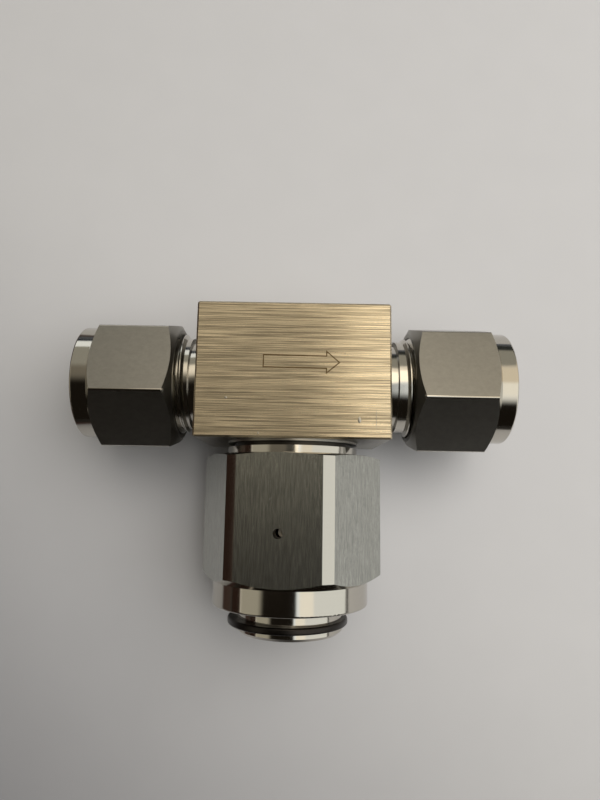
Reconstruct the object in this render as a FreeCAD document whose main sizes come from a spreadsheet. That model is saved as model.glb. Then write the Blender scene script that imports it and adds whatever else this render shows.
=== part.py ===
import FreeCAD, Part

import math
import os

import Sketcher

# Tee-type inline particulate filter for 1/2 in. tube.
# The frame is the assembly's own: X runs along the flow, from the inlet tube's stop at the origin,
# the bonnet hangs off towards -Y and the face that carries the flow arrow looks up, along +Z.
# The port pieces are turned about the flow axis and the bonnet pieces about the bonnet axis, which
# crosses it in the middle of the block.

# Driving dimensions, in millimetres and degrees
SIZES = {
    # square bar that the body is cut from
    "block_length": 34.0,
    "bar_size": 25.4,
    "shoulder_drop": 11.15,
    "edge_break": 0.3,
    # threaded tube ends of the body
    "port_length": 14.2,
    "port_chamfer": 0.6,
    "neck_depth": 0.8,
    "neck_length": 2.1,
    "tube_diameter": 12.7,
    "socket_clearance": 0.15,
    "mouth_flare": 1.25,
    "mouth_wall": 1.15,
    "ferrule_angle": 12.0,
    "flow_diameter": 7.2,
    # chamber and passages inside the body
    "chamber_diameter": 17.0,
    "chamber_ceiling": 7.0,
    "outlet_eye_diameter": 5.5,
    "feed_diameter": 3.8,
    "feed_offset": 6.4,
    # threaded boss that the bonnet nut screws onto
    "boss_diameter": 24.4,
    "boss_thread_depth": 0.75,
    "boss_end": 24.5,
    "land_end": 15.0,
    "groove_depth": 1.3,
    "groove_start": 0.35,
    "groove_width": 0.75,
    # tube nuts
    "nut_across_flats": 22.225,
    "nut_length": 18.1,
    "nut_collar_step": 0.5625,
    "nut_collar_length": 3.0,
    "nut_mouth_margin": 0.95,
    "nut_face_width": 0.7,
    "nut_cavity_margin": 0.3,
    "nut_hole_clearance": 0.1,
    "nut_chamfer_angle": 30.0,
    "nut_rim_round": 0.4,
    "nut_reach": 22.5,
    "outlet_nut_slack": 0.37,
    # ferrules
    "ferrule_overhang": 0.4,
    "ferrule_clearance": 0.07,
    "ferrule_nose_wall": 0.15,
    "ferrule_rim": 0.58,
    "ferrule_stand": 2.55,
    "back_ferrule_length": 2.8,
    "back_ferrule_face": 0.43,
    # bonnet nut
    "bonnet_nut_across_flats": 29.6,
    "bonnet_nut_corner_stand": 1.7,
    "bonnet_nut_top": 13.6,
    "bonnet_nut_end": 40.2,
    "bonnet_nut_collar_step": 0.67,
    "bonnet_nut_collar_length": 5.55,
    "bonnet_nut_face_step": 0.3,
    "bonnet_nut_top_angle": 15.0,
    "land_clearance": 0.6,
    "weep_diameter": 1.65,
    "weep_place": 26.9,
    # bonnet, gasket, element and spring
    "gasket_thickness": 1.0,
    "gasket_margin": 0.2,
    "flange_slack": 0.2,
    "flange_thickness": 3.0,
    "bonnet_diameter": 19.26,
    "bonnet_wall": 2.33,
    "bonnet_floor": 4.0,
    "bonnet_tip": 2.55,
    "bonnet_rim_chamfer": 0.5,
    "element_diameter": 10.0,
    "element_wall": 1.6,
    "element_flange_step": 0.6,
    "element_flange_thickness": 1.5,
    "element_end": 34.0,
    "element_floor": 2.0,
    "spring_diameter": 8.4,
    "wire_diameter": 0.9,
    "spring_turns": 3.0,
    # retaining ring in its groove near the bonnet's end
    "ring_drop": 2.2,
    "ring_thickness": 1.2,
    "ring_stand": 1.27,
    "ring_groove_depth": 0.78,
    "ring_offset": 0.38,
    "ring_gap": 5.0,
    "ring_round": 0.35,
    # how far round its axis each nut stands
    "inlet_nut_turn": 14.8,
    "outlet_nut_turn": 16.4,
    "bonnet_nut_turn": 98.0,
    # clearances, and how far an outline runs past the metal that it joins or cuts
    "thread_clearance": 0.1,
    "running_clearance": 0.17,
    "seat_gap": 0.03,
    "overrun": 1.0,
}

SHEET = "Sizes"
X_AXIS = FreeCAD.Vector(1, 0, 0)
Z_AXIS = FreeCAD.Vector(0, 0, 1)


class Size:
    """A value in millimetres or degrees, with the expression that gives it from the sheet."""

    def __init__(self, value, text):
        self.value = value
        self.text = text

    def __add__(self, other):
        return joined(self, "+", other, self.value + plain(other))

    def __radd__(self, other):
        return joined(other, "+", self, plain(other) + self.value)

    def __sub__(self, other):
        return joined(self, "-", other, self.value - plain(other))

    def __rsub__(self, other):
        return joined(other, "-", self, plain(other) - self.value)

    def __mul__(self, other):
        return joined(self, "*", other, self.value * plain(other))

    def __truediv__(self, other):
        return joined(self, "/", other, self.value / plain(other))

    def __neg__(self):
        return Size(-self.value, f"(-{self.text})")

    def tan(self):
        return Size(math.tan(math.radians(self.value)), f"tan({self.text} * 1 deg)")


def plain(number):
    return number.value if isinstance(number, Size) else number


def written(number):
    return number.text if isinstance(number, Size) else str(number)


def joined(left, sign, right, value):
    return Size(value, f"({written(left)} {sign} {written(right)})")


def size(name):
    return Size(SIZES[name], f"{SHEET}.{name}")


def mouth_radius():
    """The cone in the body's mouth flares out round the tube."""
    return size("tube_diameter") / 2 + size("mouth_flare")


def port_root_radius():
    """The tube ends' thread leaves a wall round the mouth, down to its root."""
    return mouth_radius() + size("mouth_wall")


def ferrule_radius():
    return mouth_radius() + size("ferrule_overhang")


def nut_reach(side):
    """Distance from the block to the nut's outer face: the outlet's nut stands further out."""
    reach = size("nut_reach")
    return reach + size("outlet_nut_slack") if side == "outlet" else reach


def ferrule_joint():
    """Place of the joint between the two ferrules, from the nut's outer face."""
    return size("nut_reach") - size("port_length") - size("ferrule_stand")


def boss_root_radius():
    return size("boss_diameter") / 2 - size("boss_thread_depth")


def flange_radius():
    """The bonnet's flange passes through the nut's thread."""
    return boss_root_radius() - size("flange_slack")


def ring_place():
    return size("bonnet_nut_end") + size("ring_drop")


def bonnet_end():
    return ring_place() + size("bonnet_tip")


def add_sheet(doc):
    """Write every driving dimension into the sheet, with its name as the cell's alias."""
    sheet = doc.addObject("Spreadsheet::Sheet", SHEET)
    for row, (name, value) in enumerate(SIZES.items(), start=1):
        sheet.set(f"A{row}", name)
        sheet.set(f"B{row}", str(value))
        sheet.setAlias(f"B{row}", name)
    doc.recompute()


def new_body(doc, label):
    body = doc.addObject("PartDesign::Body", label)
    body.Label = label
    return body


def origin_plane(body, role):
    return next(item for item in body.Origin.OriginFeatures if item.Role == role)


def new_sketch(body, name, role):
    sketch = body.newObject("Sketcher::SketchObject", name)
    sketch.AttachmentSupport = [(origin_plane(body, role), "")]
    sketch.MapMode = "FlatFace"
    return sketch


def bind(sketch, constraint, value):
    """Add a dimension to the sketch and tie it to the sheet."""
    number = sketch.addConstraint(constraint)
    sketch.setExpression(f"Constraints[{number}]", written(value))


def add_outline(sketch, points):
    """Draw a closed outline whose corners are held at (across, up) from the sketch's origin."""
    corners = [FreeCAD.Vector(plain(across), plain(up), 0) for across, up in points]
    first = sketch.GeometryCount
    count = len(points)
    for here, there in zip(corners, corners[1:] + corners[:1]):
        sketch.addGeometry(Part.LineSegment(here, there), False)
    for index in range(count):
        following = first + (index + 1) % count
        sketch.addConstraint(Sketcher.Constraint("Coincident", first + index, 2, following, 1))
    for index, (across, up) in enumerate(points):
        line = first + index
        if isinstance(across, Size):
            bind(sketch, Sketcher.Constraint("DistanceX", -1, 1, line, 1, across.value), across)
        else:
            sketch.addConstraint(Sketcher.Constraint("PointOnObject", line, 1, -2))
        if isinstance(up, Size):
            bind(sketch, Sketcher.Constraint("DistanceY", -1, 1, line, 1, up.value), up)
        else:
            sketch.addConstraint(Sketcher.Constraint("PointOnObject", line, 1, -1))


def add_circle(sketch, diameter, across=0, up=0):
    """Draw a circle with its centre at (across, up)."""
    centre = FreeCAD.Vector(plain(across), plain(up), 0)
    number = sketch.addGeometry(Part.Circle(centre, Z_AXIS, diameter.value / 2), False)
    bind(sketch, Sketcher.Constraint("Diameter", number, diameter.value), diameter)
    if isinstance(across, Size):
        bind(sketch, Sketcher.Constraint("DistanceX", -1, 1, number, 3, across.value), across)
    else:
        sketch.addConstraint(Sketcher.Constraint("PointOnObject", number, 3, -2))
    if isinstance(up, Size):
        bind(sketch, Sketcher.Constraint("DistanceY", -1, 1, number, 3, up.value), up)
    else:
        sketch.addConstraint(Sketcher.Constraint("PointOnObject", number, 3, -1))


def volume(body):
    body.Document.recompute()
    return body.Shape.Volume


def check_cut(body, before, name):
    """Stop if a cut took no metal away."""
    if volume(body) >= before:
        raise ValueError(f"{name} cut nothing out of {body.Label}")


def turn(body, name, points, axis="H_Axis"):
    """Revolve an outline about the sketch's own axis, to add metal."""
    sketch = new_sketch(body, name + "_outline", "XY_Plane")
    add_outline(sketch, points)
    feature = body.newObject("PartDesign::Revolution", name)
    feature.Profile = sketch
    feature.ReferenceAxis = (sketch, [axis])
    feature.Angle = 360
    return feature


def bore(body, name, points, axis="H_Axis"):
    """Revolve an outline about the sketch's own axis, to turn the metal in it away."""
    before = volume(body)
    sketch = new_sketch(body, name + "_outline", "XY_Plane")
    add_outline(sketch, points)
    feature = body.newObject("PartDesign::Groove", name)
    feature.Profile = sketch
    feature.ReferenceAxis = (sketch, [axis])
    feature.Angle = 360
    check_cut(body, before, name)


def pad(body, name, sketch, length):
    feature = body.newObject("PartDesign::Pad", name)
    feature.Profile = sketch
    feature.setExpression("Length", length.text)
    return feature


def cut_through(body, name, sketch, both_ways):
    before = volume(body)
    feature = body.newObject("PartDesign::Pocket", name)
    feature.Profile = sketch
    feature.Type = "ThroughAll"
    feature.Midplane = both_ways
    check_cut(body, before, name)
    return feature


def cut_flats(body, near, corner):
    """Mill one flat along the turned blank, square to Y, and repeat it to a hexagon."""
    beyond = corner + size("overrun")
    sketch = new_sketch(body, "flat_outline", "XY_Plane")
    reach = size("bonnet_nut_end") + size("overrun")
    corners = [(-reach, near), (reach, near), (reach, beyond), (-reach, beyond)]
    add_outline(sketch, corners)
    flat = cut_through(body, "flat", sketch, True)
    pattern = body.newObject("PartDesign::PolarPattern", "hexagon")
    pattern.Originals = [flat]
    pattern.Axis = (sketch, ["H_Axis"])
    pattern.Angle = 360
    pattern.Occurrences = 6
    body.Tip = pattern


def rim_edges(shape, place, radius):
    """Name the circular edges of a radius that lie square to X at a place."""
    names = []
    for number, edge in enumerate(shape.Edges, start=1):
        box = edge.BoundBox
        if box.XLength > 1e-4 or abs(box.XMin - place.value) > 1e-3:
            continue
        if abs(box.YMax - radius.value) < 1e-3 and abs(box.YMin + radius.value) < 1e-3:
            names.append(f"Edge{number}")
    return names


def round_rim(body, name, place, radius, rounding):
    body.Document.recompute()
    base = body.Tip
    feature = body.newObject("PartDesign::Fillet", name)
    feature.Base = (base, rim_edges(base.Shape, place, radius))
    feature.setExpression("Radius", rounding.text)


def place_on_bonnet_axis(part, turned=0.0):
    """Point the piece's own X down the bonnet, from the crossing of the two axes."""
    along = FreeCAD.Rotation(Z_AXIS, -90)
    about = FreeCAD.Rotation(X_AXIS, turned)
    middle = size("block_length") / 2
    part.Placement = FreeCAD.Placement(FreeCAD.Vector(middle.value, 0, 0), along * about)
    part.setExpression("Placement.Base.x", middle.text)


def place_at_port(part, side, turned=0.0):
    """Put the piece's own origin in the tube nut's outer face, with its X into the block."""
    reach = nut_reach(side)
    about = FreeCAD.Rotation(X_AXIS, turned)
    if side == "inlet":
        face = -reach
        rotation = about
    else:
        face = size("block_length") + reach
        rotation = about * FreeCAD.Rotation(Z_AXIS, 180)
    part.Placement = FreeCAD.Placement(FreeCAD.Vector(face.value, 0, 0), rotation)
    part.setExpression("Placement.Base.x", face.text)


def port_outline(side, inner_end):
    """Bore of one tube end: flow passage, tube socket and the cone that the ferrule seats in."""
    face = size("block_length") / 2
    end = face + size("port_length")
    mouth = mouth_radius()
    socket = size("tube_diameter") / 2 + size("socket_clearance")
    cone_length = (mouth - socket) / size("ferrule_angle").tan()
    flow = size("flow_diameter") / 2
    points = [
        (inner_end, 0),
        (inner_end, flow),
        (face, flow),
        (face, socket),
        (end - cone_length, socket),
        (end, mouth),
        (end, 0),
    ]
    if side == "inlet":
        points = [(-across, up) for across, up in points]
    return points


def make_filter_body(doc):
    """Square bar turned down at both ends and below, with the chamber and passages bored in it."""
    body = new_body(doc, "filter_body")
    half = size("block_length") / 2
    top = size("bar_size") / 2
    bottom = -size("shoulder_drop")

    sketch = new_sketch(body, "bar_outline", "XY_Plane")
    add_outline(sketch, [(-half, bottom), (half, bottom), (half, top), (-half, top)])
    block = pad(body, "bar", sketch, size("bar_size"))
    block.Midplane = True
    doc.recompute()
    broken = body.newObject("PartDesign::Chamfer", "broken_edges")
    broken.Base = (block, [f"Edge{number}" for number in range(1, len(block.Shape.Edges) + 1)])
    broken.setExpression("Size", size("edge_break").text)

    root = port_root_radius()
    neck = root - size("neck_depth")
    chamfer = size("port_chamfer")
    overrun = size("overrun")
    thread_start = half + size("neck_length")
    end = half + size("port_length")
    tube_end = turn(body, "threaded_end", [
        (half - overrun, 0),
        (half - overrun, neck),
        (thread_start, neck),
        (thread_start, root),
        (end - chamfer, root),
        (end, root - chamfer),
        (end, 0),
    ])
    other_end = body.newObject("PartDesign::Mirrored", "inlet_end")
    other_end.Originals = [tube_end]
    other_end.MirrorPlane = (origin_plane(body, "YZ_Plane"), [""])
    body.Tip = other_end

    # Threaded boss for the bonnet nut: a smooth land with a relief groove under the block, then
    # the threaded length, shown at its root diameter
    boss = size("boss_diameter") / 2
    boss_root = boss_root_radius()
    groove = boss - size("groove_depth")
    groove_top = bottom - size("groove_start")
    groove_foot = groove_top - size("groove_width")
    land_end = -size("land_end")
    boss_end = -size("boss_end")
    turn(body, "bonnet_boss", [
        (0, bottom + overrun),
        (boss, bottom + overrun),
        (boss, groove_top),
        (groove, groove_top),
        (groove, groove_foot),
        (boss, groove_foot),
        (boss, land_end),
        (boss_root, land_end),
        (boss_root, boss_end + chamfer),
        (boss_root - chamfer, boss_end),
        (0, boss_end),
    ], axis="V_Axis")

    # Filter chamber, open at the boss's end, with the outlet's eye in the middle of its ceiling
    chamber = size("chamber_diameter") / 2
    ceiling = -size("chamber_ceiling")
    eye = size("outlet_eye_diameter") / 2
    bore(body, "chamber", [
        (0, 0),
        (eye, 0),
        (eye, ceiling),
        (chamber, ceiling),
        (chamber, boss_end),
        (0, boss_end),
    ], axis="V_Axis")

    # The outlet passage runs over the eye, and the inlet passage stops short of it and is fed
    # down through a hole beside the element
    feed = size("feed_offset")
    feed_radius = size("feed_diameter") / 2
    bore(body, "outlet_passage", port_outline("outlet", -eye))
    bore(body, "inlet_passage", port_outline("inlet", feed - feed_radius))
    sketch = new_sketch(body, "feed_outline", "XZ_Plane")
    add_circle(sketch, size("feed_diameter"), across=-feed)
    before = volume(body)
    hole = body.newObject("PartDesign::Pocket", "feed_hole")
    hole.Profile = sketch
    hole.setExpression("Length", (size("chamber_ceiling") + overrun).text)
    hole.Reversed = True
    check_cut(body, before, "feed_hole")
    body.Placement = FreeCAD.Placement(FreeCAD.Vector(half.value, 0, 0), FreeCAD.Rotation())
    body.setExpression("Placement.Base.x", half.text)
    return body


def make_tube_nut(doc, side):
    """Hexagon nut: turned with a plain collar at the tube's end and chamfered, then milled."""
    body = new_body(doc, side + "_tube_nut")
    length = size("nut_length")
    flat = size("nut_across_flats") / 2
    corner = flat / math.cos(math.radians(30))
    collar = flat - size("nut_collar_step")
    slope = size("nut_chamfer_angle").tan()
    hole = size("tube_diameter") / 2 + size("nut_hole_clearance")
    cavity = ferrule_radius() + size("nut_cavity_margin")
    thread = port_root_radius() + size("thread_clearance")
    mouth = port_root_radius() + size("nut_mouth_margin")
    face = mouth + size("nut_face_width")
    # The 45 degree shoulder bears on the back ferrule's heel
    ferrule_bore = size("tube_diameter") / 2 + size("ferrule_clearance")
    ferrule_start = ferrule_joint() - size("back_ferrule_length")
    heel_inside = ferrule_bore + size("back_ferrule_face")
    shoulder_start = ferrule_start - (heel_inside - hole) - size("seat_gap")
    cavity_start = shoulder_start + (cavity - hole)
    thread_start = ferrule_joint() + size("port_chamfer")
    turn(body, "turned_blank", [
        (0, hole),
        (0, collar),
        (size("nut_collar_length"), collar),
        (size("nut_collar_length") + (corner - collar) * slope, corner),
        (length - (corner - face) * slope, corner),
        (length, face),
        (length, mouth),
        (length - (mouth - thread), thread),
        (thread_start, thread),
        (thread_start, cavity),
        (cavity_start, cavity),
        (shoulder_start, hole),
    ])
    cut_flats(body, flat, corner)
    round_rim(body, "collar_rim", Size(0.0, "0"), collar, size("nut_rim_round"))
    place_at_port(body, side, SIZES[side + "_nut_turn"])
    return body


def make_front_ferrule(doc, side):
    """Tapered sleeve that wedges between the tube and the cone in the body's mouth."""
    body = new_body(doc, side + "_front_ferrule")
    inner = size("tube_diameter") / 2 + size("ferrule_clearance")
    joint = ferrule_joint()
    outer = ferrule_radius()
    slope = size("ferrule_angle").tan()
    mouth_place = nut_reach(side) - size("port_length")
    mouth = mouth_radius() - size("seat_gap")
    nose = inner + size("ferrule_nose_wall")
    nose_end = mouth_place + (mouth - nose) / slope
    taper_start = mouth_place - (outer - mouth) / slope
    countersink = outer - size("ferrule_rim")
    turn(body, "sleeve", [
        (joint + (countersink - inner), inner),
        (joint, countersink),
        (joint, outer),
        (taper_start, outer),
        (nose_end, nose),
        (nose_end, inner),
    ])
    place_at_port(body, side)
    return body


def make_back_ferrule(doc, side):
    """Short ring whose nose slides under the front ferrule and whose heel the nut pushes."""
    body = new_body(doc, side + "_back_ferrule")
    inner = size("tube_diameter") / 2 + size("ferrule_clearance")
    outer = ferrule_radius()
    heel_inside = inner + size("back_ferrule_face")
    start = ferrule_joint() - size("back_ferrule_length")
    front = ferrule_joint() - size("seat_gap")
    nose = outer - size("ferrule_rim") - size("seat_gap") * 2
    turn(body, "ring", [
        (start, inner),
        (start, heel_inside),
        (start + (outer - heel_inside), outer),
        (front, outer),
        (front, nose),
        (front + (nose - inner), inner),
    ])
    place_at_port(body, side)
    return body


def make_bonnet_nut(doc):
    """Large hexagon nut with turned-off corners, a plain collar and a weep hole in one flat."""
    body = new_body(doc, "bonnet_nut")
    top = size("bonnet_nut_top")
    end = size("bonnet_nut_end")
    flat = size("bonnet_nut_across_flats") / 2
    corner = flat + size("bonnet_nut_corner_stand")
    collar = flat - size("bonnet_nut_collar_step")
    face = flat - size("bonnet_nut_face_step")
    flats_end = end - size("bonnet_nut_collar_length")
    clear_bore = size("boss_diameter") / 2 + size("thread_clearance")
    thread = boss_root_radius() + size("thread_clearance")
    hole = size("bonnet_diameter") / 2 + size("running_clearance")
    counterbore_end = size("land_end") + size("land_clearance")
    relief_start = size("boss_end") + size("thread_clearance")
    shoulder = size("boss_end") + size("gasket_thickness") + size("flange_thickness")
    turn(body, "turned_blank", [
        (top, clear_bore),
        (top, face),
        (top + (corner - face) * size("bonnet_nut_top_angle").tan(), corner),
        (flats_end, corner),
        (flats_end + (corner - collar) * size("nut_chamfer_angle").tan(), collar),
        (end, collar),
        (end, hole),
        (shoulder, hole),
        (shoulder, clear_bore),
        (relief_start, clear_bore),
        (relief_start, thread),
        (counterbore_end, thread),
        (counterbore_end, clear_bore),
    ])
    cut_flats(body, flat, corner)
    round_rim(body, "collar_rim", end, collar, size("nut_rim_round"))
    sketch = new_sketch(body, "weep_outline", "XZ_Plane")
    add_circle(sketch, size("weep_diameter"), across=size("weep_place"))
    cut_through(body, "weep_hole", sketch, False)
    place_on_bonnet_axis(body, SIZES["bonnet_nut_turn"])
    return body


def make_bonnet(doc):
    """Cup with a flange that the nut clamps, and a groove for the ring that keeps the nut on."""
    body = new_body(doc, "bonnet")
    top = size("boss_end") + size("gasket_thickness")
    flange = flange_radius()
    flange_end = top + size("flange_thickness")
    tube = size("bonnet_diameter") / 2
    inner = tube - size("bonnet_wall")
    end = bonnet_end()
    floor = end - size("bonnet_floor")
    rim = size("bonnet_rim_chamfer")
    groove = tube - size("ring_groove_depth")
    groove_start = ring_place() - size("seat_gap")
    groove_end = ring_place() + size("ring_thickness") + size("seat_gap")
    turn(body, "cup", [
        (top, inner),
        (top, flange),
        (flange_end, flange),
        (flange_end, tube),
        (groove_start, tube),
        (groove_start, groove),
        (groove_end, groove),
        (groove_end, tube),
        (end - rim, tube),
        (end, tube - rim),
        (end, 0),
        (floor, 0),
        (floor, inner),
    ])
    place_on_bonnet_axis(body)
    return body


def make_bonnet_gasket(doc):
    """Flat metal ring squeezed between the boss and the bonnet's flange."""
    body = new_body(doc, "bonnet_gasket")
    sketch = new_sketch(body, "ring_outline", "YZ_Plane")
    add_circle(sketch, flange_radius() * 2)
    add_circle(sketch, size("chamber_diameter") + size("gasket_margin") * 2)
    pad(body, "flat_ring", sketch, size("gasket_thickness"))
    sketch.setExpression("AttachmentOffset.Base.z", size("boss_end").text)
    place_on_bonnet_axis(body)
    return body


def make_filter_element(doc):
    """Porous cup, flanged at its open end, which seats round the outlet's eye."""
    body = new_body(doc, "filter_element")
    top = size("chamber_ceiling")
    outer = size("element_diameter") / 2
    inner = outer - size("element_wall")
    flange = outer + size("element_flange_step")
    flange_end = top + size("element_flange_thickness")
    end = size("element_end")
    floor = end - size("element_floor")
    turn(body, "cup", [
        (top, inner),
        (top, flange),
        (flange_end, flange),
        (flange_end, outer),
        (end, outer),
        (end, 0),
        (floor, 0),
        (floor, inner),
    ])
    place_on_bonnet_axis(body)
    return body


def make_element_spring(doc):
    """Wire coil, ground flat at both ends, that pushes the element up onto its seat."""
    body = new_body(doc, "element_spring")
    start = size("element_end")
    end = bonnet_end() - size("bonnet_floor")
    wire = size("wire_diameter")
    outer = size("spring_diameter") / 2
    sketch = new_sketch(body, "wire_section", "XY_Plane")
    add_circle(sketch, wire, across=start, up=outer - wire / 2)
    coil = body.newObject("PartDesign::AdditiveHelix", "coil")
    coil.Profile = sketch
    coil.ReferenceAxis = (sketch, ["H_Axis"])
    coil.Mode = 2
    coil.setExpression("Height", (end - start).text)
    coil.setExpression("Turns", size("spring_turns").text)
    for name, near, far in (("top_grind", start - wire, start), ("foot_grind", end, end + wire)):
        clear = outer + wire
        bore(body, name, [(near, 0), (near, clear), (far, clear), (far, 0)])
    place_on_bonnet_axis(body)
    return body


def make_retaining_ring(doc):
    """Open ring, deeper on one side, with rounded edges and its gap at the back."""
    body = new_body(doc, "retaining_ring")
    sketch = new_sketch(body, "ring_outline", "YZ_Plane")
    sketch.setExpression("AttachmentOffset.Base.z", ring_place().text)
    tube = size("bonnet_diameter") / 2
    inner = tube - size("ring_groove_depth") + size("seat_gap")
    outer = tube + size("ring_stand")
    add_circle(sketch, outer * 2, across=-size("ring_offset"))
    add_circle(sketch, inner * 2)
    pad(body, "flat_ring", sketch, size("ring_thickness"))
    gap = size("ring_gap") / 2
    beyond = outer * 2
    gap_sketch = new_sketch(body, "gap_outline", "YZ_Plane")
    add_outline(gap_sketch, [(-gap, 0), (gap, 0), (gap, -beyond), (-gap, -beyond)])
    cut_through(body, "gap", gap_sketch, True)
    base = body.Tip
    edges = []
    for number, edge in enumerate(base.Shape.Edges, start=1):
        curve = edge.Curve
        if isinstance(curve, Part.Circle) and abs(curve.Radius - outer.value) < 1e-6:
            edges.append(f"Edge{number}")
    rounded = body.newObject("PartDesign::Fillet", "rounded_edges")
    rounded.Base = (base, edges)
    rounded.setExpression("Radius", size("ring_round").text)
    place_on_bonnet_axis(body)
    return body


def check(doc, parts):
    """Stop if any feature failed or any piece isn't one valid solid."""
    for item in doc.Objects:
        if "Invalid" in item.State or "Error" in item.State:
            raise ValueError(f"{item.Name} failed: {item.State}")
    for part in parts:
        shape = part.Shape
        if shape.isNull() or not shape.isValid() or len(shape.Solids) != 1:
            raise ValueError(f"{part.Label} isn't one valid solid")


def main():
    doc = FreeCAD.newDocument("particulate_filter")
    add_sheet(doc)
    parts = [make_filter_body(doc)]
    for side in ("inlet", "outlet"):
        parts.append(make_tube_nut(doc, side))
        parts.append(make_front_ferrule(doc, side))
        parts.append(make_back_ferrule(doc, side))
    parts.append(make_bonnet_nut(doc))
    parts.append(make_bonnet(doc))
    parts.append(make_bonnet_gasket(doc))
    parts.append(make_filter_element(doc))
    parts.append(make_element_spring(doc))
    parts.append(make_retaining_ring(doc))
    doc.recompute()
    check(doc, parts)
    os.makedirs("parts", exist_ok=True)
    for part in parts:
        part.Shape.exportStep(os.path.join("parts", part.Label + ".step"))


main()
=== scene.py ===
"""Inline particulate filter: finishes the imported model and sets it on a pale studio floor.

The filter lies level, as it is built into a tube line: flow along +X, bonnet towards -Y and the
marked face up. Lengths are in metres, as Blender keeps them.
"""

import math

import bmesh
import bpy
from bpy.props import FloatProperty, FloatVectorProperty, PointerProperty
from mathutils import Matrix, Vector


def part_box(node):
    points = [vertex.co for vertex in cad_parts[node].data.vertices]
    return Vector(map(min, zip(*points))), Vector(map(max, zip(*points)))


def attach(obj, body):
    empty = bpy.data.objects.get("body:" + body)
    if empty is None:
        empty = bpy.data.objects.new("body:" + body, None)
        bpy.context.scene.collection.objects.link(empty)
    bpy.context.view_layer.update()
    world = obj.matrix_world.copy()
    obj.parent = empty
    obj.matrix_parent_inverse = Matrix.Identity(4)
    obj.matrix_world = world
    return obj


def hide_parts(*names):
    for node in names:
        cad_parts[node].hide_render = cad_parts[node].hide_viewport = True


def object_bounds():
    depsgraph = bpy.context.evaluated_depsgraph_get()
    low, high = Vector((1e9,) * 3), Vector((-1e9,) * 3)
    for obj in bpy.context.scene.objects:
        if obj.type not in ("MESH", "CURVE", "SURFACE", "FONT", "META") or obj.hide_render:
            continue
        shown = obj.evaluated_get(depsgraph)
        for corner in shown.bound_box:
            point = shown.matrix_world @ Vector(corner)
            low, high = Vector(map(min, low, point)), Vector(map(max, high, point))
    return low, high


bl_info = {
    "name": "Inline particulate filter",
    "version": (1, 0, 0),
    "blender": (4, 5, 0),
    "location": "View3D > Sidebar > Filter",
    "description": "Finishes the filter's pieces and sets up its studio",
    "category": "Object",
}

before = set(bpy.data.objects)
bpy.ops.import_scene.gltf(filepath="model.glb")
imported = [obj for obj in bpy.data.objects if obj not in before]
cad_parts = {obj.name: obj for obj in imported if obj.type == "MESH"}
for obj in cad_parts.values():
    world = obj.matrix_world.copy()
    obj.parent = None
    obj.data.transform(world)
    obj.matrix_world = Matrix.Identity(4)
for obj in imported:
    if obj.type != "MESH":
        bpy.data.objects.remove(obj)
CAD_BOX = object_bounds()

MM = 0.001
SQUARE_MM = MM * MM
X, Y = 0, 1
WHOLE = (0.0, 1.0)

# Sockets of a Mix node that mixes colours, which only their numbers tell from those for values
FACTOR, FIRST, SECOND, MIX = 0, 6, 7, 2

# Places on the body. Its finish changes at these heights, along the bonnet axis, and the underside
# and the thread relief get painted shade.
BODY_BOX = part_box("filter_body")
MIDDLE = (BODY_BOX[0].x + BODY_BOX[1].x) / 2
FACE = BODY_BOX[1].z
BRUSHED = FACE - 0.35 * MM
BONNET_SIDE = -11 * MM
UNDERSIDE = (-11.4 * MM, -11.1 * MM)
RELIEF = (-12.3 * MM, -11.45 * MM)
THREAD_ROOT = 8.75 * MM

# What tells a nut's faces apart: a flat by its area, the cone near the block by how far it is from
# the block's middle, and the weep hole's wall by its place, reach, height and small faces
# The cone near the block and the weep hole's wall found here get painted shade
FLAT_AREA = 50 * SQUARE_MM
CONE_REACH = 25 * MM
WEEP_HOLE = (14.95 * MM, -26.9 * MM)
WEEP_REACH = 0.95 * MM
WEEP_HEIGHT = 11 * MM
WEEP_FACE_AREA = 5 * SQUARE_MM


def linear(colour):
    """Linear RGBA of an sRGB hex colour."""
    parts = [int(colour[place : place + 2], 16) / 255 for place in (1, 3, 5)]
    return (*(p / 12.92 if p <= 0.04045 else ((p + 0.055) / 1.055) ** 2.4 for p in parts), 1.0)


def length(name, description, millimetres):
    return FloatProperty(
        name=name, description=description, default=millimetres * MM,
        subtype="DISTANCE", unit="LENGTH", precision=5,
    )


def colour(name, description, value):
    return FloatVectorProperty(
        name=name, description=description, default=linear(value), subtype="COLOR", size=4
    )


class FilterSizes(bpy.types.PropertyGroup):
    """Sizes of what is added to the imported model."""

    edge_break: length("Edge break", "Width of the broken corners of the nuts", 0.26)
    thread_pitch: length("Thread pitch", "Pitch of the tube ends' threads, 20 to the inch", 1.27)
    thread_crest: length("Thread crest", "Radius of the tube ends' thread over its crests", 9.52)
    thread_flat: length("Crest flat", "Width of the flat on the thread's crests", 0.16)
    inlet_crest: length("Inlet's crest", "Place of the inlet's first crest, along the flow", -3.3)
    outlet_crest: length("Outlet's crest", "Place of the outlet's first crest, along it", 38.05)
    arrow_length: length("Arrow length", "Length of the flow arrow", 13.4)
    arrow_shaft: length("Arrow shaft", "Width of the arrow's shaft", 2.34)
    arrow_head: length("Arrow head", "Width of the arrow's head", 4.22)
    arrow_point: length("Arrow point", "Length of the arrow's head", 2.47)
    arrow_line: length("Arrow line", "Width of the etched line", 0.19)
    arrow_height: length("Arrow height", "Height of the arrow over the flow axis", 2.08)


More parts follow.
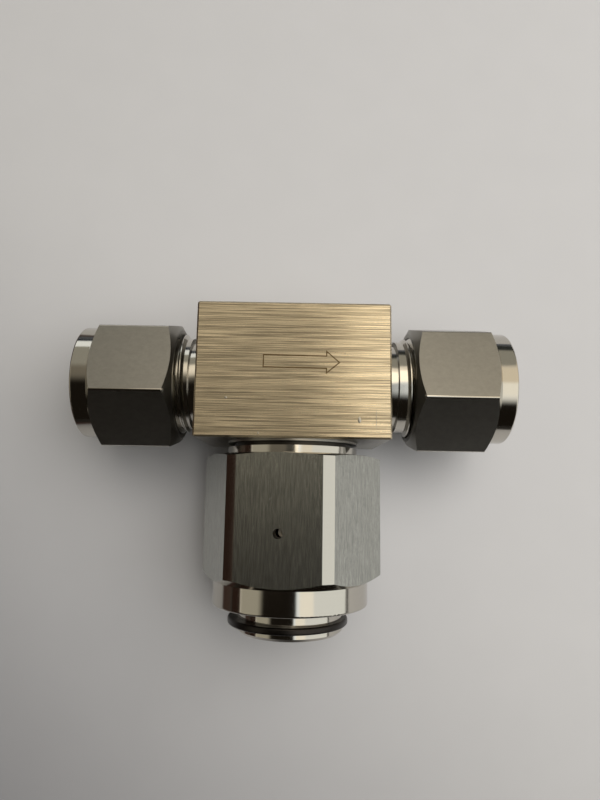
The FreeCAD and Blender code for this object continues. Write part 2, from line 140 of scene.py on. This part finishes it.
class FilterColours(bpy.types.PropertyGroup):
    """Colours of the filter's finishes and of the studio."""

    steel: colour("Steel", "Bright stainless steel", "#c6c2b9")
    # Painted reflection: this colour is tinted warm for the warm room light that the brushed faces
    # reflect
    brushed: colour("Brushed steel with painted warm tint", "Belt-brushed faces of the body", "#d4c6ab")
    satin: colour("Satin steel", "Tube nuts' flats", "#9b9994")
    ground: colour("Ground steel", "Bonnet nut's flats", "#bcbeb8")
    ring: colour("Ring", "Darkened spring steel of the retaining ring", "#3a3735")
    # Painted shade: this dark colour stands in for the shade in the thread relief and in the weep
    # hole
    painted_shade_recess: colour("Painted recess shade", "Dull steel of the thread relief and the weep hole", "#4a4640")
    sintered: colour("Sintered steel", "Porous filter element", "#77736c")
    silver: colour("Plating", "Plating of the gasket", "#d6d4cf")
    mark: colour("Etched mark", "Oxide in the etched arrow", "#6e5a3c")
    floor: colour("Floor", "Pale matt floor", "#a7a7a9")
    backdrop: colour("Backdrop", "Pale backdrop behind the floor", "#c6c3bd")
    # Painted shade: the floor's colour at the lower left, darker in place of light that falls off
    painted_floor_shade: colour("Painted floor shade", "Floor at the lower left, where the light falls off", "#56575c")


def add_node(tree, kind, inputs=None, output=0, **settings):
    """Add a shader node with its settings, values and links, and give one of its outputs."""
    node = tree.nodes.new(kind)
    for name, value in settings.items():
        setattr(node, name, value)
    for name, value in (inputs or {}).items():
        if isinstance(value, bpy.types.NodeSocket):
            tree.links.new(value, node.inputs[name])
        else:
            node.inputs[name].default_value = value
    return node.outputs[output]


def new_material(name, base, metallic, roughness):
    """Material with one Principled shader and its three plain values."""
    material = bpy.data.materials.new(name)
    material.use_nodes = True
    tree = material.node_tree
    shader = tree.nodes["Principled BSDF"]
    shader.inputs["Base Color"].default_value = base
    shader.inputs["Metallic"].default_value = metallic
    shader.inputs["Roughness"].default_value = roughness
    return material, tree, shader


def shade(base, factor):
    """Colour made darker or lighter."""
    return (*(part * factor for part in base[:3]), 1.0)


def grain(tree, size, detail=2.0, roughness=0.5):
    """Pattern whose cells have the given size along X, Y and Z."""
    place = add_node(tree, "ShaderNodeTexCoord", output="Object")
    scaled = add_node(
        tree, "ShaderNodeMapping", {"Vector": place, "Scale": tuple(1 / part for part in size)}
    )
    return add_node(
        tree, "ShaderNodeTexNoise",
        {"Vector": scaled, "Scale": 1.0, "Detail": detail, "Roughness": roughness}, "Fac",
    )


def graded(tree, value, span, first, second, amount=1.0, change="LINEAR"):
    """Colour that goes from the first to the second, by an amount, as a value crosses a span."""
    share = add_node(
        tree, "ShaderNodeMapRange",
        {"Value": value, "From Min": span[0], "From Max": span[1], "To Max": amount},
        interpolation_type=change,
    )
    return add_node(
        tree, "ShaderNodeMix", {FACTOR: share, FIRST: first, SECOND: second}, MIX, data_type="RGBA"
    )


def vary_roughness(tree, shader, pattern, low, high):
    """Let the shader's roughness follow a pattern between two values."""
    varied = add_node(tree, "ShaderNodeMapRange", {"Value": pattern, "To Min": low, "To Max": high})
    tree.links.new(varied, shader.inputs["Roughness"])


def emboss(tree, shader, height, depth, strength):
    """Tilt the surface with a height pattern of the given depth."""
    tilted = add_node(
        tree, "ShaderNodeBump", {"Height": height, "Distance": depth, "Strength": strength}
    )
    tree.links.new(tilted, shader.inputs["Normal"])


def emboss_two(tree, shader, share, first, second, depth, strength):
    """Tilt the surface with two height patterns, of which the second has the given share."""
    height = add_node(
        tree, "ShaderNodeMix", {FACTOR: share, FIRST: first, SECOND: second}, MIX, data_type="RGBA"
    )
    emboss(tree, shader, height, depth, strength)


def spread_across(tree, shader, axis, amount):
    """Spread the reflection across the lines of a finish that run along X or Y."""
    along = tuple(1.0 if part == axis else 0.0 for part in range(3))
    normal = add_node(tree, "ShaderNodeNewGeometry", output="Normal")
    across = add_node(
        tree, "ShaderNodeVectorMath", {0: normal, 1: along}, operation="CROSS_PRODUCT"
    )
    tree.links.new(across, shader.inputs["Tangent"])
    shader.inputs["Anisotropic"].default_value = amount


def turned_steel(name, base, roughness, axis, line=0.12 * MM):
    """Stainless steel turned on a lathe: bright, with fine rings round the axis that it turned on.

    A real cut leaves rings a few hundredths of a millimetre apart, too fine for the render, so
    they are drawn 0.12 mm wide, and wider on the rough cuts.
    """
    material, tree, shader = new_material(name, base, 1.0, roughness)
    size = [8 * MM] * 3
    size[axis] = line
    rings = grain(tree, size, 3.0, 0.6)
    tone = graded(tree, rings, WHOLE, shade(base, 0.93), base)
    tree.links.new(tone, shader.inputs["Base Color"])
    vary_roughness(tree, shader, rings, roughness * 0.7, roughness * 1.4)
    emboss(tree, shader, rings, 0.002 * MM, 0.35)
    return material


def brushed_steel(name, base):
    """Stainless bar brushed on a coarse belt: long lines along the flow axis, light and dark.

    An 80 grit belt leaves lines 0.1 to 0.3 mm wide and some ten millimetres long.
    """
    material, tree, shader = new_material(name, base, 1.0, 0.34)
    spread_across(tree, shader, X, 1.0)
    wide = grain(tree, (70 * MM, 1.6 * MM, 1.6 * MM), 2.0, 0.5)
    lines = grain(tree, (14 * MM, 0.15 * MM, 0.15 * MM), 2.0, 0.6)
    fine = grain(tree, (7 * MM, 0.09 * MM, 0.09 * MM), 2.0, 0.6)
    tone = graded(tree, lines, (0.4, 0.6), shade(base, 0.42), shade(base, 1.4))
    tone = graded(tree, fine, (0.5, 0.7), tone, shade(base, 0.55), 0.8)
    tone = graded(tree, wide, (0.35, 0.65), tone, shade(base, 0.8), 0.4)
    tree.links.new(tone, shader.inputs["Base Color"])
    vary_roughness(tree, shader, fine, 0.24, 0.32)
    emboss_two(tree, shader, 0.4, lines, fine, 0.02 * MM, 0.6)
    return material


def satin_steel(name, base):
    """Hexagon bar with its drawn skin: satin, faintly mottled, without direction.

    The mottle has patches of a millimetre, and the skin is rough in steps of 0.2 mm.
    """
    material, tree, shader = new_material(name, base, 1.0, 0.34)
    mottle = grain(tree, (1.1 * MM, 0.8 * MM, 0.8 * MM), 4.0, 0.7)
    skin = grain(tree, (0.25 * MM, 0.2 * MM, 0.2 * MM), 2.0, 0.6)
    tone = graded(tree, mottle, (0.3, 0.7), shade(base, 0.86), base)
    tree.links.new(tone, shader.inputs["Base Color"])
    vary_roughness(tree, shader, mottle, 0.28, 0.42)
    emboss(tree, shader, skin, 0.004 * MM, 0.4)
    return material


def ground_steel(name, base):
    """Flats ground along the bonnet: fine lines down the nut, with a dull mottle under them.

    A 120 grit belt's lines are some 0.05 mm wide, and are drawn 0.12 mm wide so that they show.
    """
    material, tree, shader = new_material(name, base, 1.0, 0.36)
    spread_across(tree, shader, Y, 0.5)
    lines = grain(tree, (0.12 * MM, 3 * MM, 0.12 * MM), 2.0, 0.6)
    mottle = grain(tree, (0.2 * MM, 0.6 * MM, 0.2 * MM), 3.0, 0.7)
    tone = graded(tree, lines, (0.38, 0.62), shade(base, 0.72), shade(base, 1.12))
    tone = graded(tree, mottle, (0.48, 0.66), tone, shade(base, 0.6), 0.6)
    tree.links.new(tone, shader.inputs["Base Color"])
    vary_roughness(tree, shader, mottle, 0.2, 0.3)
    emboss_two(tree, shader, 0.35, lines, mottle, 0.012 * MM, 0.5)
    return material


def mottled_steel(name, base, roughness, cell, depth):
    """Steel with an even fine mottle: darkened spring wire, plating or sintered powder."""
    material, tree, shader = new_material(name, base, 1.0, roughness)
    spots = grain(tree, (cell, cell, cell), 3.0, 0.6)
    tone = graded(tree, spots, WHOLE, shade(base, 0.6), shade(base, 1.15))
    tree.links.new(tone, shader.inputs["Base Color"])
    vary_roughness(tree, shader, spots, roughness * 0.7, roughness * 1.3)
    emboss(tree, shader, spots, depth, 0.6)
    return material


def finished_copy(node_name, piece_name, finishes, choose, edge=0.0, axis=None):
    """Merged copy of a CAD node, which stands for the node.

    Each face has the finish whose name choose gives. A nut's flats, which lie along its axis,
    become whole faces, and its long corners are broken to the width of edge and polished. Round
    rims have their chamfers and roundings already, and only part their shading here.
    """
    same_place = 1e-7
    same_flat = math.radians(0.3)
    shading_angle = math.radians(18)
    corner_angle = math.radians(35)
    corner_length = 3 * MM
    names = list(finishes)
    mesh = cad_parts[node_name].data.copy()
    mesh.name = piece_name
    mesh.materials.clear()
    for material in finishes.values():
        mesh.materials.append(material)
    bm = bmesh.new()
    bm.from_mesh(mesh)
    bmesh.ops.remove_doubles(bm, verts=bm.verts, dist=same_place)
    if axis is not None:
        flats = [
            line for line in bm.edges
            if all(abs(face.normal[axis]) < 0.01 for face in line.link_faces)
        ]
        bmesh.ops.dissolve_limit(bm, angle_limit=same_flat, verts=[], edges=flats)
    weight = bm.edges.layers.float.new("bevel_weight_edge")
    for face in bm.faces:
        face.smooth = True
        face.material_index = names.index(choose(face))
    for line in bm.edges:
        if len(line.link_faces) != 2:
            continue
        angle = line.calc_face_angle()
        if edge and angle > corner_angle and line.calc_length() > corner_length:
            line[weight] = 1.0
        elif angle > shading_angle:
            line.smooth = False
    bm.to_mesh(mesh)
    bm.free()
    piece = bpy.data.objects.new(piece_name, mesh)
    bpy.context.scene.collection.objects.link(piece)
    if edge:
        bevel = piece.modifiers.new("broken edges", "BEVEL")
        bevel.width = edge
        bevel.segments = 2
        bevel.limit_method = "WEIGHT"
        bevel.material = names.index("polished")
        bevel.use_clamp_overlap = False
    piece.modifiers.new("flat faces", "WEIGHTED_NORMAL").keep_sharp = True
    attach(piece, "root")
    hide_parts(node_name)
    return piece


def new_piece(name, bm, material):
    """Piece from a bmesh, which rides on the filter."""
    mesh = bpy.data.meshes.new(name)
    bm.to_mesh(mesh)
    bm.free()
    mesh.materials.append(material)
    piece = bpy.data.objects.new(name, mesh)
    bpy.context.scene.collection.objects.link(piece)
    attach(piece, "root")
    return piece


class FILTER_OT_body(bpy.types.Operator):
    """Finish the body: brushed bar faces, turned ends and boss"""

    bl_idname = "filter.body"
    bl_label = "Body"

    def execute(self, context):
        colours = context.scene.filter_colours
        steel = colours.steel[:]
        finishes = {
            # The brushed faces' warm tint is a painted reflection of the warm room light
            "brushed": brushed_steel("belt-brushed stainless bar", colours.brushed[:]),
            "tube end": turned_steel("stainless turned about the flow axis", steel, 0.12, X),
            "boss": turned_steel("stainless turned about the bonnet axis", steel, 0.1, Y),
            # Painted shade: the thread relief is coloured dark for the shade in its groove, and is
            # rough too
            "relief": mottled_steel(
                "dull thread relief", colours.painted_shade_recess[:], 0.4, 0.3 * MM, 0.01 * MM
            ),
            # Painted shade: the end faces and the block's underside are a darker copy of the steel,
            # for the shade they sit in
            "shoulder": turned_steel("faced shoulders in painted shade", shade(steel, 0.6), 0.3, X, 0.4 * MM),
        }

        def choose(face):
            centre = face.calc_center_median()
            faced = abs(face.normal.x) > 0.99
            if max(abs(centre.z), centre.y) > BRUSHED and not faced:
                return "brushed"
            # The thread relief gets painted shade
            if RELIEF[0] < centre.y < RELIEF[1]:
                return "relief"
            # The end faces and the underside get painted shade
            if faced or UNDERSIDE[0] < centre.y < UNDERSIDE[1]:
                return "shoulder"
            return "tube end" if centre.y > BONNET_SIDE else "boss"

        finished_copy("filter_body", "body", finishes, choose)
        return {"FINISHED"}


class FILTER_OT_tube_nuts(bpy.types.Operator):
    """Finish the two tube nuts: satin flats, polished collars, and rougher cones near the block in
    painted shade
    """

    bl_idname = "filter.tube_nuts"
    bl_label = "Tube nuts"

    def execute(self, context):
        colours = context.scene.filter_colours
        steel = colours.steel[:]
        finishes = {
            "satin": satin_steel("satin hexagon bar", colours.satin[:]),
            "polished": turned_steel("polished nut collar", steel, 0.1, X),
            # Painted shade: the cones near the block are a darker copy of the steel, for the shaded
            # block they face; they are rougher too
            "dull_and_shaded": turned_steel("dull nut cone", shade(steel, 0.45), 0.32, X, 0.4 * MM),
        }

        def choose(face):
            across = abs(face.calc_center_median().x - MIDDLE)
            # The cones near the block get painted shade
            if across < CONE_REACH and abs(face.normal.x) > 0.1:
                return "dull_and_shaded"
            flat = face.calc_area() > FLAT_AREA and abs(face.normal.x) < 0.01
            return "satin" if flat else "polished"

        edge = context.scene.filter_sizes.edge_break
        for side in ("inlet", "outlet"):
            finished_copy(
                f"{side}_tube_nut", f"{side}_nut", finishes, choose, edge, X
            )
        return {"FINISHED"}


class FILTER_OT_bonnet_nut(bpy.types.Operator):
    """Finish the bonnet nut: ground flats, polished collar and chamfers, weep hole darkened with
    painted shade
    """

    bl_idname = "filter.bonnet_nut"
    bl_label = "Bonnet nut"

    def execute(self, context):
        colours = context.scene.filter_colours
        finishes = {
            "ground": ground_steel("ground hexagon flats", colours.ground[:]),
            "polished": turned_steel("polished bonnet nut collar", colours.steel[:], 0.09, Y),
            # Painted shade: the weep hole's wall is coloured dark for the shade inside the hole
            "dull_and_shaded": mottled_steel(
                "dull drilled hole", colours.painted_shade_recess[:], 0.4, 0.3 * MM, 0.01 * MM
            ),
        }

        def choose(face):
            centre = face.calc_center_median()
            area = face.calc_area()
            near_hole = math.hypot(centre.x - WEEP_HOLE[0], centre.y - WEEP_HOLE[1]) < WEEP_REACH
            # The weep hole's wall gets painted shade
            if near_hole and centre.z > WEEP_HEIGHT and area < WEEP_FACE_AREA:
                return "dull_and_shaded"
            return "ground" if area > FLAT_AREA and abs(face.normal.y) < 0.01 else "polished"

        edge = context.scene.filter_sizes.edge_break
        finished_copy("bonnet_nut", "large_nut", finishes, choose, edge, Y)
        return {"FINISHED"}


class FILTER_OT_bonnet(bpy.types.Operator):
    """Finish the bonnet and the ring that keeps the nut on it"""

    bl_idname = "filter.bonnet"
    bl_label = "Bonnet and ring"

    def execute(self, context):
        colours = context.scene.filter_colours
        turned = {"polished": turned_steel("polished bonnet", colours.steel[:], 0.1, Y)}
        dark = {
            "dark": mottled_steel(
                "darkened spring steel", colours.ring[:], 0.34, 0.35 * MM, 0.02 * MM
            )
        }
        edge = context.scene.filter_sizes.edge_break
        finished_copy(
            "bonnet", "bonnet_cup", turned, lambda face: "polished", edge
        )
        finished_copy("retaining_ring", "snap_ring", dark, lambda face: "dark")
        return {"FINISHED"}


class FILTER_OT_inner_pieces(bpy.types.Operator):
    """Give the ferrules, gasket, element and spring their finishes"""

    bl_idname = "filter.inner_pieces"
    bl_label = "Inner pieces"

    def execute(self, context):
        colours = context.scene.filter_colours
        steel = colours.steel[:]
        ferrule = turned_steel("turned ferrule", steel, 0.16, X)
        finishes = {
            "bonnet_gasket": mottled_steel(
                "plated gasket", colours.silver[:], 0.2, 0.4 * MM, 0.003 * MM
            ),
            "filter_element": mottled_steel(
                "sintered powder, 0.1 mm grains", colours.sintered[:], 0.6, 0.12 * MM, 0.05 * MM
            ),
            "element_spring": mottled_steel("drawn spring wire", steel, 0.25, 0.5 * MM, 0.003 * MM),
        }
        for side in ("inlet", "outlet"):
            for place in ("front", "back"):
                finishes[f"{side}_{place}_ferrule"] = ferrule
        for name, material in finishes.items():
            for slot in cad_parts[name].material_slots:
                slot.link = "OBJECT"
                slot.material = material
        return {"FINISHED"}


class FILTER_OT_tube_threads(bpy.types.Operator):
    """Wind the last turns of thread on the two tube ends, up to where the nuts hide them"""

    bl_idname = "filter.tube_threads"
    bl_label = "Tube threads"

    def execute(self, context):
        sizes = context.scene.filter_sizes
        steel = context.scene.filter_colours.steel[:]
        material = turned_steel("cut thread", steel, 0.16, X, 0.2 * MM)
        self.wind(sizes, "inlet_thread", sizes.inlet_crest, -1, material)
        self.wind(sizes, "outlet_thread", sizes.outlet_crest, 1, material)
        return {"FINISHED"}

    def wind(self, sizes, name, place, way, material):
        """Spin the ridge's section along the helix: half a turn of run-in and one whole turn."""
        steps_per_turn = 96
        run_in = steps_per_turn // 2
        steps = steps_per_turn + run_in
        crest = sizes.thread_crest
        sunk = THREAD_ROOT - 0.02 * MM
        flat = sizes.thread_flat / 2
        foot = flat + (crest - sunk) * math.tan(math.radians(30))
        start = place - way * sizes.thread_pitch * run_in / steps_per_turn
        bm = bmesh.new()
        corners = [
            bm.verts.new((start + across, 0, up))
            for across, up in ((-foot, sunk), (-flat, crest), (flat, crest), (foot, sunk))
        ]
        section = bm.faces.new(corners)
        turn = Matrix.Rotation(-way * math.tau * run_in / steps_per_turn, 3, (1, 0, 0))
        bmesh.ops.rotate(bm, verts=corners, cent=(0, 0, 0), matrix=turn)
        bmesh.ops.spin(
            bm, geom=corners + list(section.edges) + [section], cent=(0, 0, 0), axis=(1, 0, 0),
            dvec=(way * sizes.thread_pitch / steps_per_turn, 0, 0),
            angle=way * math.tau * steps / steps_per_turn, steps=steps,
        )
        # The ridge grows out of the root over most of the run-in
        bm.verts.ensure_lookup_table()
        for number, vert in enumerate(bm.verts):
            grown = min(1.0, (number // len(corners)) / run_in * 1.25)
            radius = math.hypot(vert.co.y, vert.co.z)
            wanted = sunk + (radius - sunk) * grown
            vert.co.y *= wanted / radius
            vert.co.z *= wanted / radius
        bmesh.ops.recalc_face_normals(bm, faces=bm.faces)
        for face in bm.faces:
            face.smooth = True
        for line in bm.edges:
            if len(line.link_faces) == 2 and line.calc_face_angle() > math.radians(25):
                line.smooth = False
        new_piece(name, bm, material)


class FILTER_OT_flow_arrow(bpy.types.Operator):
    """Etch the outline of the flow arrow into the marked face"""

    bl_idname = "filter.flow_arrow"
    bl_label = "Flow arrow"

    # Place of the arrow's tail from the block's middle, how far the arrow leans, and how thick the
    # oxide is and how much of it lies under the face
    TAIL = -5.33 * MM
    LEAN = math.radians(-0.5)
    THICK = 0.02 * MM
    SUNK = 0.014 * MM

    def execute(self, context):
        sizes = context.scene.filter_sizes
        material = mottled_steel(
            "etched oxide", context.scene.filter_colours.mark[:], 0.55, 0.3 * MM, 0.005 * MM
        )
        tip = self.TAIL + sizes.arrow_length
        neck = tip - sizes.arrow_point
        shaft = sizes.arrow_shaft / 2
        head = sizes.arrow_head / 2
        outline = (
            (self.TAIL, -shaft), (neck, -shaft), (neck, -head), (tip, 0),
            (neck, head), (neck, shaft), (self.TAIL, shaft),
        )
        bm = bmesh.new()
        face = bm.faces.new([bm.verts.new((x, y, 0)) for x, y in outline])
        bm.normal_update()
        bmesh.ops.inset_individual(
            bm, faces=[face], thickness=sizes.arrow_line, use_even_offset=True
        )
        bmesh.ops.delete(bm, geom=[face], context="FACES_ONLY")
        line = bmesh.ops.extrude_face_region(bm, geom=list(bm.faces))
        top = [item for item in line["geom"] if isinstance(item, bmesh.types.BMVert)]
        bmesh.ops.translate(bm, verts=top, vec=(0, 0, self.THICK))
        bmesh.ops.recalc_face_normals(bm, faces=bm.faces)
        turn = Matrix.Rotation(self.LEAN, 3, "Z")
        bmesh.ops.rotate(bm, verts=bm.verts, cent=(0, 0, 0), matrix=turn)
        place = (MIDDLE, sizes.arrow_height, FACE - self.SUNK)
        bmesh.ops.translate(bm, verts=bm.verts, vec=place)
        new_piece("flow_arrow", bm, material)
        return {"FINISHED"}


class FILTER_OT_handling_marks(bpy.types.Operator):
    """Raise the small burrs that knocks have left on the marked face"""

    bl_idname = "filter.handling_marks"
    bl_label = "Handling marks"

    # Place from the block's middle, length and width of each burr, in millimetres
    MARKS = (
        (11.4, -7.9, 0.6, 1.1), (-11.5, -4.4, 0.5, 0.4), (-5.83, -10.39, 0.25, 0.5),
        (14.27, -7.7, 0.09, 3.8),
    )
    # Height of each burr over the face and depth under it, in millimetres
    STAND = 0.06

    def execute(self, context):
        steel = context.scene.filter_colours.steel[:]
        bm = bmesh.new()
        for across, up, wide, tall in self.MARKS:
            dome = bmesh.ops.create_uvsphere(bm, u_segments=16, v_segments=8, radius=0.5 * MM)
            bmesh.ops.scale(bm, verts=dome["verts"], vec=(wide, tall, 2 * self.STAND))
            place = (MIDDLE + across * MM, up * MM, FACE)
            bmesh.ops.translate(bm, verts=dome["verts"], vec=place)
        for face in bm.faces:
            face.smooth = True
        material = mottled_steel("bruised steel", steel, 0.3, 0.2 * MM, 0.02 * MM)
        new_piece("handling_marks", bm, material)
        return {"FINISHED"}


class FILTER_OT_studio(bpy.types.Operator):
    """Set the floor, the soft light, what the steel reflects, and the camera"""

    bl_idname = "filter.studio"
    bl_label = "Studio"

    # What stands round the filter, for the world's light: hex colour, strength, and the two values
    # of the direction's X, Y or Z between which it fades in. Later ones cover earlier ones.
    SURROUNDINGS = (
        ("#ada99c", 0.9, (("Y", -0.1, 0.5),)),
        ("#8f8778", 0.8, (("X", -0.1, -0.25), ("Y", -0.2, 0.2), ("Y", 0.5, 0.3))),
        ("#f4f6f4", 1.3, (("Y", 0.6, 0.7), ("Z", 0.36, 0.32), ("X", 0.05, -0.1))),
        ("#39404e", 0.6, (("Y", 0.6, 0.7), ("Z", 0.12, 0.06))),
        ("#404240", 0.74, (("Y", 0.6, 0.7), ("Z", 0.24, 0.14), ("X", -0.05, 0.1))),
        ("#b6b09f", 1.0, (("X", -0.58, -0.72), ("Y", -0.6, -0.4), ("Y", 0.6, 0.4))),
        ("#e0d8c8", 1.0, (("X", -0.5, -0.6), ("Z", 0.3, 0.28))),
        ("#35261f", 0.8, (("X", -0.5, -0.6), ("Z", 0.27, 0.24))),
        ("#fff3de", 1.15, (("Y", 0.1, 0.4), ("Y", 0.6, 0.5), ("X", -0.3, -0.22), ("X", 0.3, 0.22))),
        (
            "#fff3de", 1.4,
            (("Y", 0.34, 0.55), ("Y", 0.75, 0.65), ("X", -0.25, -0.18), ("X", 0.25, 0.18)),
        ),
        ("#fff3dd", 2.3, (("X", 0.06, 0.09), ("X", 0.3, 0.22), ("Y", -0.05, 0.1), ("Y", 0.6, 0.5))),
        ("#f4f9fb", 1.35, (("X", 0.12, 0.2), ("Y", -0.65, -0.25), ("Y", 0.15, 0.05))),
        ("#fcf6e8", 1.35, (("X", 0.2, 0.27), ("Y", -0.65, -0.25), ("Y", 0.65, 0.4))),
        ("#f8ead0", 1.05, (("X", 0.2, 0.3), ("Y", 0.0, 0.14), ("Y", 0.65, 0.5))),
        ("#f0f1ec", 1.2, (("X", 0.52, 0.58), ("Y", -0.65, -0.25), ("Y", 0.15, 0.05))),
        ("#8c8a86", 1.0, (("X", 0.5, 0.6), ("Z", 0.05, 0.04))),
    )
    DARK_ROOM = "#1c1813"

    # Painted reflection: what the steel sees of the floor turns to the room's dark colours beyond
    # these places.
    # For each: X or Y, the two places along it between which the dark colour fades in, and that
    # colour
    PAINTED_ROOM_REFLECTIONS = (
        ("X", -0.06, -0.045, "#2e1a17"),
        ("Y", -0.16, -0.1, "#14110f"),
        ("Y", 0.2, 0.13, "#39404e"),
    )

    def execute(self, context):
        scene = context.scene
        self.set_world(scene)
        self.set_lamp(scene)
        self.set_floor(scene)
        self.set_camera(scene)
        scene.view_settings.view_transform = "Standard"
        return {"FINISHED"}

    def set_world(self, scene):
        """Room for the steel to reflect, and a pale backdrop for the camera."""
        world = bpy.data.worlds.new("soft studio")
        scene.world = world
        world.use_nodes = True
        tree = world.node_tree
        way = add_node(tree, "ShaderNodeTexCoord", output="Generated")
        parts = add_node(tree, "ShaderNodeSeparateXYZ", {"Vector": way}).node.outputs
        light = linear(self.DARK_ROOM)
        for value, strength, limits in self.SURROUNDINGS:
            mask = 1.0
            for axis, low, high in limits:
                edge = add_node(
                    tree, "ShaderNodeMapRange",
                    {"Value": parts[axis], "From Min": low, "From Max": high},
                    interpolation_type="SMOOTHSTEP",
                )
                mask = add_node(tree, "ShaderNodeMath", {0: mask, 1: edge}, operation="MULTIPLY")
            thing = shade(linear(value), strength)
            light = add_node(
                tree, "ShaderNodeMix", {FACTOR: mask, FIRST: light, SECOND: thing}, MIX,
                data_type="RGBA",
            )
        seen = add_node(tree, "ShaderNodeLightPath", output="Is Camera Ray")
        backdrop = scene.filter_colours.backdrop[:]
        shown = add_node(
            tree, "ShaderNodeMix", {FACTOR: seen, FIRST: light, SECOND: backdrop}, MIX,
            data_type="RGBA",
        )
        tree.links.new(shown, tree.nodes["Background"].inputs["Color"])

    def set_lamp(self, scene):
        """One large soft lamp, up to the right, which throws the shadow to the lower left."""
        lamp = bpy.data.lights.new("key", "AREA")
        lamp.energy = 3.75
        lamp.size = 0.55
        lamp.color = linear("#fffdfa")[:3]
        key = bpy.data.objects.new("key", lamp)
        key.location = (0.23, 0.08, 0.45)
        aim = Vector((MIDDLE, -0.01, 0)) - key.location
        key.rotation_euler = aim.to_track_quat("-Z", "Y").to_euler()
        key.visible_glossy = False
        scene.collection.objects.link(key)

    def set_floor(self, scene):
        """Pale matt floor, with painted shade that darkens its colour near the filter's lower left.

        Its reflection in the steel is painted: beyond the picture the floor turns to the room's
        dark colours.
        """
        soft = "SMOOTHSTEP"
        base = scene.filter_colours.floor[:]
        material, tree, shader = new_material("pale matt floor", base, 0.0, 0.7)
        place = add_node(tree, "ShaderNodeTexCoord", output="Object")
        parts = add_node(tree, "ShaderNodeSeparateXYZ", {"Vector": place}).node.outputs
        slope = add_node(
            tree, "ShaderNodeVectorMath", {0: place, 1: (0.64, 0.77, 0.0)}, "Value",
            operation="DOT_PRODUCT",
        )
        away = add_node(tree, "ShaderNodeVectorMath", {0: place}, "Value", operation="LENGTH")
        # Painted shade: the floor's colour darkens towards the lower left and turns pale again
        # further out
        far = scene.filter_colours.painted_floor_shade[:]
        seen = graded(tree, slope, (-0.15, 0.02), far, base, change=soft)
        seen = graded(tree, away, (0.14, 0.4), seen, base, change=soft)
        cloud = grain(tree, (9 * MM, 9 * MM, 9 * MM), 3.0, 0.5)
        paper = graded(tree, cloud, WHOLE, linear("#fafafa"), linear("#ffffff"))
        seen = add_node(
            tree, "ShaderNodeMix", {FACTOR: 1.0, FIRST: seen, SECOND: paper}, MIX,
            data_type="RGBA", blend_type="MULTIPLY",
        )
        # Painted reflection: for glossy rays only, the floor turns to the room's dark colours
        # beyond the picture
        painted_reflection = seen
        for axis, low, high, dark in self.PAINTED_ROOM_REFLECTIONS:
            painted_reflection = graded(tree, parts[axis], (low, high), linear(dark), painted_reflection, change=soft)
        glossy = add_node(tree, "ShaderNodeLightPath", output="Is Glossy Ray")
        shown = add_node(
            tree, "ShaderNodeMix", {FACTOR: glossy, FIRST: seen, SECOND: painted_reflection}, MIX,
            data_type="RGBA",
        )
        tree.links.new(shown, shader.inputs["Base Color"])
        bm = bmesh.new()
        bmesh.ops.create_grid(bm, x_segments=1, y_segments=1, size=2)
        bmesh.ops.translate(bm, verts=bm.verts, vec=(0, 0, CAD_BOX[0].z))
        mesh = bpy.data.meshes.new("floor")
        bm.to_mesh(mesh)
        bm.free()
        mesh.materials.append(material)
        floor = bpy.data.objects.new("floor", mesh)
        scene.collection.objects.link(floor)

    def set_camera(self, scene):
        """Camera over the filter, tipped a little up the picture, as in the photograph."""
        lens = bpy.data.cameras.new("photo camera")
        lens.lens = 25.97
        lens.sensor_width = 36
        lens.clip_start = 0.005
        camera = bpy.data.objects.new("photo camera", lens)
        scene.collection.objects.link(camera)
        right = Vector((0.99985, 0.01615, 0.00645))
        up = Vector((-0.01694, 0.98849, 0.15036))
        back = right.cross(up)
        turn = Matrix((right, up, back)).transposed().to_4x4()
        place = Vector((MIDDLE + 0.000819, -0.019487, 0.110217))
        camera.matrix_world = Matrix.Translation(place) @ turn
        scene.camera = camera


OPERATORS = (
    FILTER_OT_body,
    FILTER_OT_tube_nuts,
    FILTER_OT_bonnet_nut,
    FILTER_OT_bonnet,
    FILTER_OT_inner_pieces,
    FILTER_OT_tube_threads,
    FILTER_OT_flow_arrow,
    FILTER_OT_handling_marks,
    FILTER_OT_studio,
)


class FILTER_PT_pieces(bpy.types.Panel):
    """Lists the filter's operators and settings"""

    bl_idname = "FILTER_PT_pieces"
    bl_label = "Particulate filter"
    bl_space_type = "VIEW_3D"
    bl_region_type = "UI"
    bl_category = "Filter"

    def draw(self, context):
        for operator in OPERATORS:
            self.layout.operator(operator.bl_idname)
        for group in (context.scene.filter_sizes, context.scene.filter_colours):
            box = self.layout.box()
            for name in group.__annotations__:
                box.prop(group, name)


CLASSES = (FilterSizes, FilterColours, *OPERATORS, FILTER_PT_pieces)


def register():
    for kind in CLASSES:
        bpy.utils.register_class(kind)
    bpy.types.Scene.filter_sizes = PointerProperty(type=FilterSizes)
    bpy.types.Scene.filter_colours = PointerProperty(type=FilterColours)


def unregister():
    del bpy.types.Scene.filter_colours
    del bpy.types.Scene.filter_sizes
    for kind in reversed(CLASSES):
        bpy.utils.unregister_class(kind)


def main():
    register()
    for operator in OPERATORS:
        group, name = operator.bl_idname.split(".")
        getattr(getattr(bpy.ops, group), name)()


if __name__ == "__main__":
    main()
